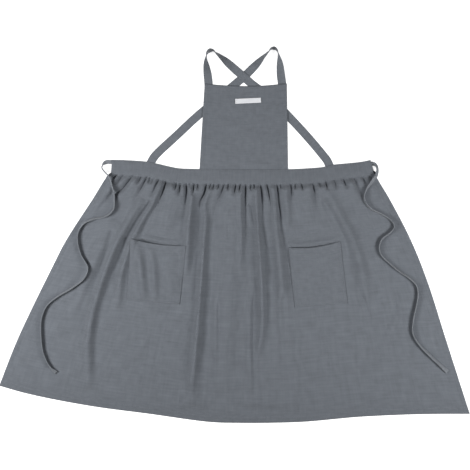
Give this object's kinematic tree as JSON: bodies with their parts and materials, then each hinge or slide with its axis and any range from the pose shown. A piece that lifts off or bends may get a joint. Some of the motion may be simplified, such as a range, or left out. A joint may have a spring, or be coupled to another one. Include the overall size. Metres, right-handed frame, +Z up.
{
  "type": "kitchen apron",
  "caption": "Pinafore kitchen apron laid flat: bib with crossed shoulder straps, waistband with loose ties, and a wide gathered skirt with patch pockets.",
  "frame": {"origin": "middle of the apron's box, ties left out, on the surface that it lies on", "axes": "+X along the waist to the right as seen from above, +Y from the hem to the bib, +Z up from the surface"},
  "size_m": [1.457, 1.1617, 0.026],
  "materials": {
    "apron_cloth": "washed plain-weave cotton and linen, matte",
    "strap_cloth": "the same cloth folded and stitched, matte",
    "label_tape": "plain white woven tape, matte"
  },
  "bodies": {
    "root": {"bib": "apron_cloth", "waistband": "apron_cloth", "skirt": "apron_cloth", "pocket_left": "apron_cloth", "pocket_right": "apron_cloth", "strap_left": "strap_cloth", "strap_right": "strap_cloth", "tie_left": "strap_cloth", "tie_right": "strap_cloth", "label": "label_tape"}
  },
  "joints": []
}
